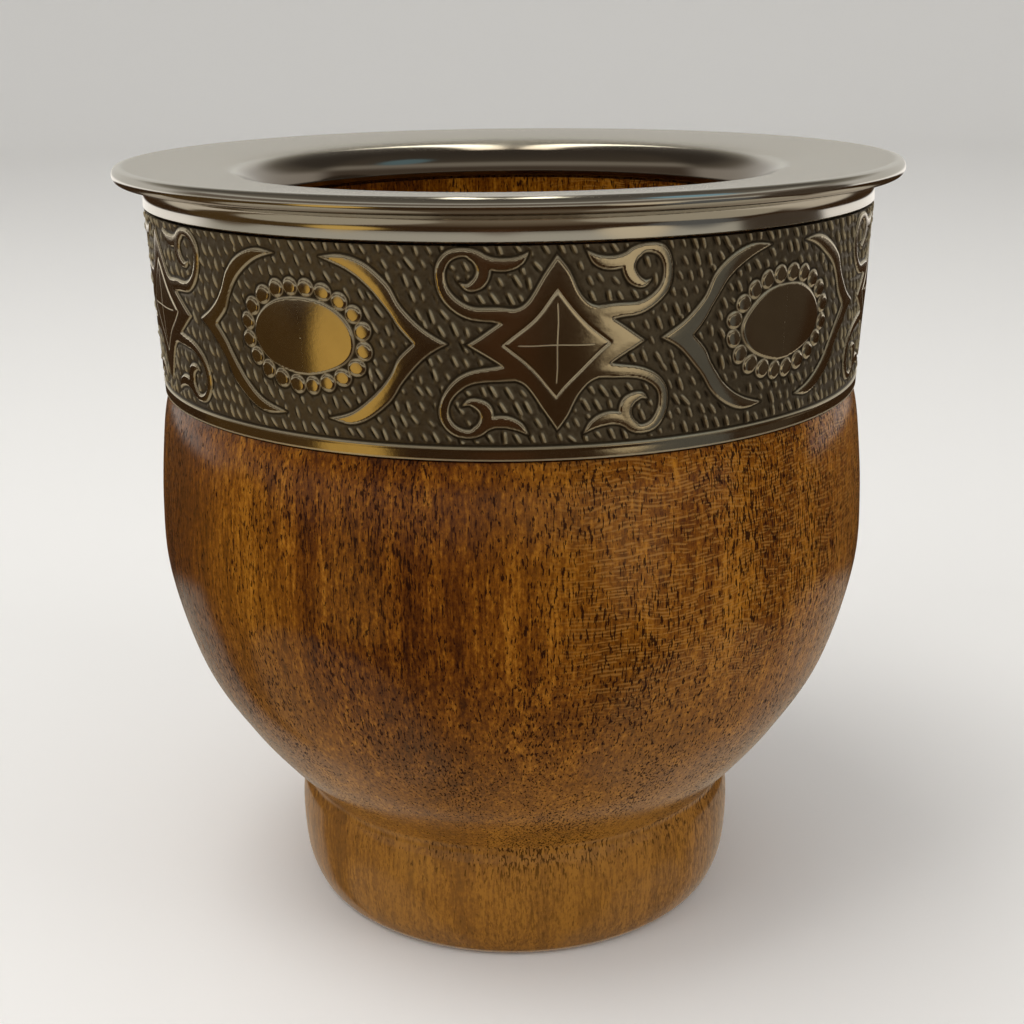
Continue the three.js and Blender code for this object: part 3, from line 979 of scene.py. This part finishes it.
add_light("top_light", 3.2, 0.5, 0.5, (-0.25, -0.1, 0.9), (1, 0.98, 0.95))
add_light("left_light", 0.9, 0.3, 0.5, (-0.5, -0.35, 0.45))
add_light("right_light", 0.9, 0.3, 0.5, (0.55, -0.3, 0.45))

# %% The room that shiny surfaces see
def seen_room(sky):
    """The colour of the room in each direction, from the table below to the ceiling above"""
    direction = sky.node("ShaderNodeTexCoord", {}, {}, "Generated")
    rise = sky.node("ShaderNodeSeparateXYZ", {}, {0: direction}, "Z")
    depth = sky.node("ShaderNodeSeparateXYZ", {}, {0: direction}, "Y")
    side = sky.node("ShaderNodeSeparateXYZ", {}, {0: direction}, "X")
    table, wall = (0.6, 0.53, 0.42), (0.045, 0.024, 0.011)
    pale, shade = (0.62, 0.6, 0.55), (0.1, 0.09, 0.075)
    turned = rise * 0.5 + 0.5
    before = sky.ramp(
        turned, (0, (0.2, 0.16, 0.11)), (0.07, (0.15, 0.11, 0.07)), (0.2, wall), (0.425, wall),
        (0.44, (0.48, 0.45, 0.38)), (0.51, (0.48, 0.45, 0.38)), (0.56, (0.16, 0.13, 0.1)),
        (0.69, (0.16, 0.13, 0.1)), (0.74, (0.5, 0.48, 0.42)), (0.77, (0.5, 0.48, 0.42)),
        (0.83, (0.16, 0.14, 0.11)), (1, shade),
    )
    behind = sky.ramp(
        turned, (0, table), (0.3, table), (0.32, wall), (0.425, wall),
        (0.44, (1.1, 1.05, 0.98)), (0.47, (1.1, 1.05, 0.98)), (0.5, pale), (0.66, pale),
        (0.73, (0.24, 0.22, 0.18)), (0.8, shade), (1, shade),
    )
    room = sky.mix(depth.between(0.1, 0.4), before, behind)
    # Each pane or dark patch is a direction, the cosine at its edge, and a colour
    windows = (
        ((1, 0, -0.05), 0.94, (0.07, 0.052, 0.036)),
        ((-0.819, 0, -0.574), 0.86, (0.08, 0.046, 0.016)),
        ((-0.6, -0.1, -0.79), 0.9, (0.42, 0.37, 0.28)),
        ((0.6, -0.1, -0.79), 0.9, (0.42, 0.37, 0.28)),
        ((0.8, -0.5, -0.34), 0.96, (0.12, 0.12, 0.115)),
        ((0.589, -0.781, -0.15), 0.963, (0.7, 0.6, 0.43)),
        ((-0.735, -0.594, -0.326), 0.97, (0.66, 0.43, 0.12)),
        ((-0.05, -0.96, -0.27), 0.975, (0.065, 0.03, 0.013)),
        ((0.635, -0.308, 0.713), 0.975, (0.25, 0.42, 0.5)),
    )
    for towards, spread, colour in windows:
        pair = {0: direction, 1: towards}
        facing = sky.node("ShaderNodeVectorMath", {"operation": "DOT_PRODUCT"}, pair, "Value")
        room = sky.mix(facing.between(spread, spread + 0.02), room, colour)
    # Two streaks of lamps run from overhead down towards the back
    overhead = rise.between(0.52, 0.6) * (1 - rise.between(0.97, 0.99)) * depth.between(0, 0.1)
    for lean in (0.06, -0.085):
        aside = side.maths("ABSOLUTE", side - rise * lean) - rise * 0.1 + 0.05
        room = sky.mix((1 - aside.between(-0.005, 0.005)) * overhead, room, (3.6, 3.4, 2.8))
    return room


def light_the_room():
    world = bpy.data.worlds.new("plain_room")
    bpy.context.scene.world = world
    world.cycles.sampling_method = "NONE"
    sky = Finish(world, "Background")
    shiny = sky.node("ShaderNodeLightPath", {}, {}, "Is Glossy Ray")
    sky.show({"Color": sky.mix(shiny, (0.6, 0.6, 0.6), seen_room(sky)), "Strength": 1.0})
    print(world.name, len(sky.tree.nodes), "nodes")


light_the_room()
bpy.context.scene.view_settings.view_transform = "Standard"

# %% [markdown]
# ## The camera
#
# The camera stands close to the cup and a little above its lip. It looks down
# and is rolled very slightly. Its place and lens come from fitting a pinhole
# camera to the round edges of the lip, the mouth and the band.

# %% Camera
CAMERA_PLACE = (0, -0.17844, 0.10538)
CAMERA_DIP = math.radians(18.18)
CAMERA_ROLL = -0.0107
LENS = 52.55


def add_camera():
    bpy.ops.object.camera_add(location=CAMERA_PLACE)
    camera = bpy.context.object
    camera.name = "photo_camera"
    camera.rotation_euler = (Matrix.Rotation(math.pi / 2 - CAMERA_DIP, 3, "X")
                             @ Matrix.Rotation(CAMERA_ROLL, 3, "Z")).to_euler()
    camera.data.sensor_width = 36
    camera.data.lens = LENS
    camera.data.clip_start = 0.005
    bpy.context.scene.camera = camera
    print(camera.name, "at", CAMERA_PLACE, "with a lens of", LENS, "mm")


add_camera()
